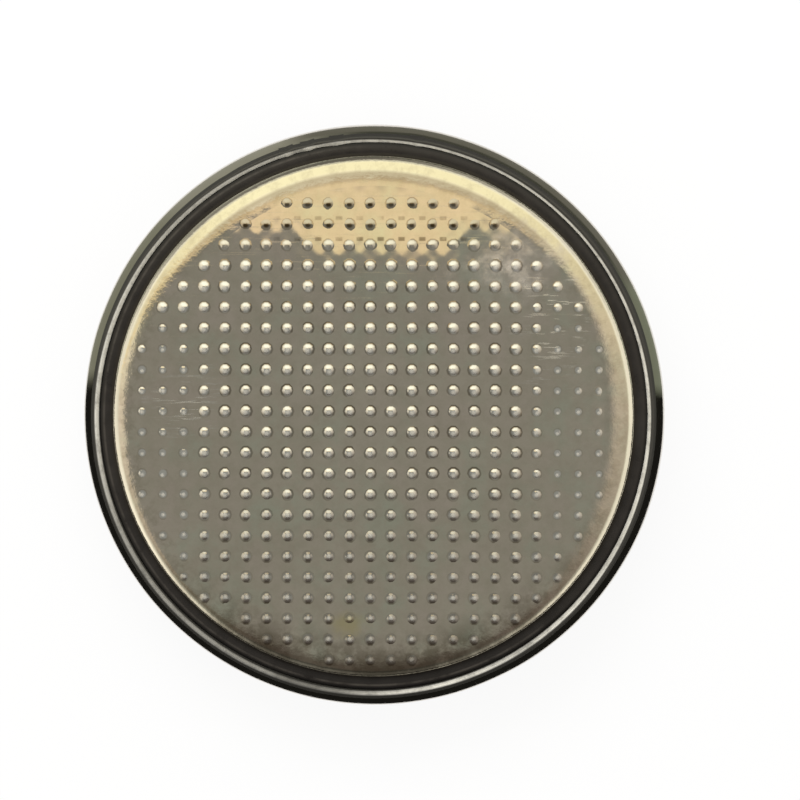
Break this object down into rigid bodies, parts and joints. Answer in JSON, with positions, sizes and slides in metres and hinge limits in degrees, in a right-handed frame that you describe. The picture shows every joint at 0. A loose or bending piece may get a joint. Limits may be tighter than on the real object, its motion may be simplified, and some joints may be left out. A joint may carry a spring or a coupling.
{
  "type": "lithium coin cell",
  "caption": "Flat round sealed cell: crimped steel can, dark seal ring and a stepped negative cap with a dotted face.",
  "frame": {"origin": "centre of the positive face, which the cell rests on", "axes": "+Z along the cell's axis, out of the dotted negative face; the grid of dots runs along X and Y"},
  "size_m": [0.02, 0.02, 0.0032],
  "materials": {
    "plated_can": "nickel plate, satin, lightly scratched",
    "plated_cap": "nickel plate, semi-bright, warm, with fine scratches",
    "seal_plastic": "dark polypropylene, satin",
    "lithium_metal": "dull silver foil",
    "separator_sheet": "matte non-woven",
    "pellet_mix": "matte pressed powder",
    "ring_steel": "bare stainless, satin"
  },
  "bodies": {
    "root": {"positive_can": "plated_can", "negative_cap": "plated_cap", "gasket": "seal_plastic", "lithium_anode": "lithium_metal", "separator": "separator_sheet", "cathode_pellet": "pellet_mix", "cathode_ring": "ring_steel"}
  },
  "joints": []
}
